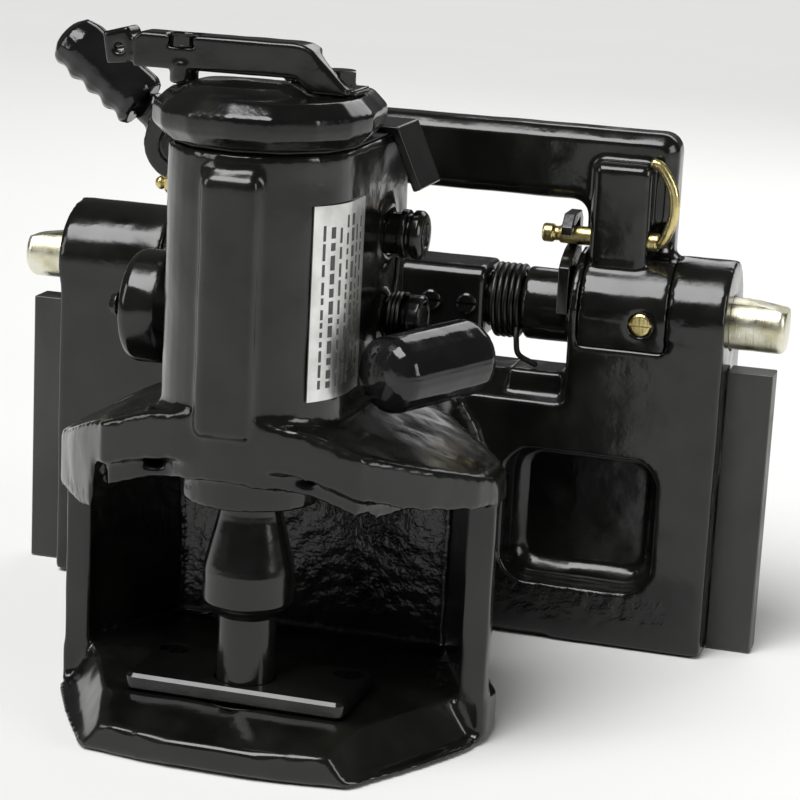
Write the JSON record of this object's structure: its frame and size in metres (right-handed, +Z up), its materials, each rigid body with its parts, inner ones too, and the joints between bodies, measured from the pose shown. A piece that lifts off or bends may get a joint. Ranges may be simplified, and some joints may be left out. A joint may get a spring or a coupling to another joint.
{
  "type": "tractor trailer coupling",
  "caption": "Height-adjustable automatic trailer coupling: pin jaw on a swivelling neck, in a ladder-frame bracket with sliding locking pins and a lock handle.",
  "frame": {"origin": "foot of the assembly under the middle of its box", "axes": "+X to the right as seen from the mouth, +Y towards the tractor, +Z up"},
  "size_m": [0.388, 0.311, 0.301],
  "materials": {
    "black_paint": "gloss black paint over a rough casting",
    "zinc_plate": "pale yellow zinc plating",
    "yellow_brass": "yellow passivated",
    "black_plastic": "gloss moulded plastic",
    "dark_steel": "oiled dark steel",
    "aluminium_plate": "satin stamped sheet",
    "gasket_rubber": "matt"
  },
  "bodies": {
    "bracket": {"bracket_casting": "black_paint", "guide_plate_right": "black_paint", "guide_plate_left": "black_paint", "lock_ear": "black_paint", "neck_bush": "yellow_brass", "torsion_spring": "dark_steel"},
    "lock_handle": {"lock_handle": "black_paint", "cross_shaft": "black_paint", "shaft_sleeve": "black_paint", "sleeve_screw_1": "black_paint", "sleeve_screw_2": "black_paint", "cam_screw": "yellow_brass"},
    "locking_pin_right": {"locking_pin_right": "zinc_plate"},
    "locking_pin_left": {"locking_pin_left": "zinc_plate"},
    "safety_pin": {"safety_pin": "yellow_brass"},
    "head": {"head_casting": "black_paint", "tower_cap": "black_paint", "cap_gasket": "gasket_rubber", "rear_cover": "black_paint", "cable_holder": "black_paint", "cap_bolt_1": "black_paint", "cap_bolt_2": "black_paint", "cap_bolt_3": "black_paint", "upper_bush": "dark_steel", "lower_bush": "dark_steel", "wear_plate": "black_paint", "wear_plate_screw_1": "dark_steel", "wear_plate_screw_2": "dark_steel", "spring_cover": "black_paint", "spring_cover_bolt_1": "black_paint", "spring_cover_bolt_2": "black_paint", "spring_cover_bolt_3": "black_paint", "stop_pin": "black_paint", "name_plate": "aluminium_plate", "grease_nipple": "yellow_brass", "neck_nut": "dark_steel", "neck_washer": "dark_steel", "thrust_washer": "dark_steel", "release_shaft": "black_paint", "release_spring": "dark_steel"},
    "coupling_pin": {"coupling_pin": "dark_steel", "pin_crosshead": "dark_steel"},
    "hand_lever": {"hand_lever": "black_paint", "lever_grip": "black_plastic", "lever_shaft": "dark_steel", "lifting_arm": "dark_steel"},
    "release_lever": {"release_lever": "black_paint", "release_grip": "black_plastic"}
  },
  "joints": [
    {"name": "handle_tilt", "type": "hinge", "parent": "bracket", "child": "lock_handle", "pos_m": [0, 0.0995, 0.161], "axis": [1, 0, 0], "range_deg": [0, 60], "stiffness_Nm_per_rad": 4, "springref_deg": -28.65, "deforming": ["torsion_spring"]},
    {"name": "lock_pin_right_slide", "type": "slide", "parent": "bracket", "child": "locking_pin_right", "axis": [-1, 0, 0], "range_m": [0, 0.024]},
    {"name": "lock_pin_left_slide", "type": "slide", "parent": "bracket", "child": "locking_pin_left", "axis": [1, 0, 0], "range_m": [0, 0.024]},
    {"name": "safety_pin_pull", "type": "slide", "parent": "lock_handle", "child": "safety_pin", "axis": [1, 0, 0], "range_m": [0, 0.02]},
    {"name": "head_swivel", "type": "hinge", "parent": "bracket", "child": "head", "pos_m": [0, 0.0515, 0.078], "axis": [0, 1, 0], "range_deg": [-30, 30]},
    {"name": "coupling_pin_lift", "type": "slide", "parent": "head", "child": "coupling_pin", "axis": [0, 0, 1], "range_m": [0, 0.094], "stiffness_N_per_m": 60, "springref_m": -0.25},
    {"name": "hand_lever_swing", "type": "hinge", "parent": "head", "child": "hand_lever", "pos_m": [-0.057, -0.0505, 0.246], "axis": [0, -1, 0], "range_deg": [0, 60]},
    {"name": "release_lever_lift", "type": "hinge", "parent": "head", "child": "release_lever", "pos_m": [0.054, -0.0585, 0.1805], "axis": [-1, 0, 0], "range_deg": [0, 25], "stiffness_Nm_per_rad": 0.8, "springref_deg": -22.92, "deforming": ["release_spring"]}
  ],
  "couplings": [
    {"joint": "lock_pin_right_slide", "follows": "handle_tilt", "m_per_rad": 0.022915},
    {"joint": "lock_pin_left_slide", "follows": "handle_tilt", "m_per_rad": 0.022915},
    {"joint": "hand_lever_swing", "follows": "coupling_pin_lift", "rad_per_m": 11.14}
  ]
}
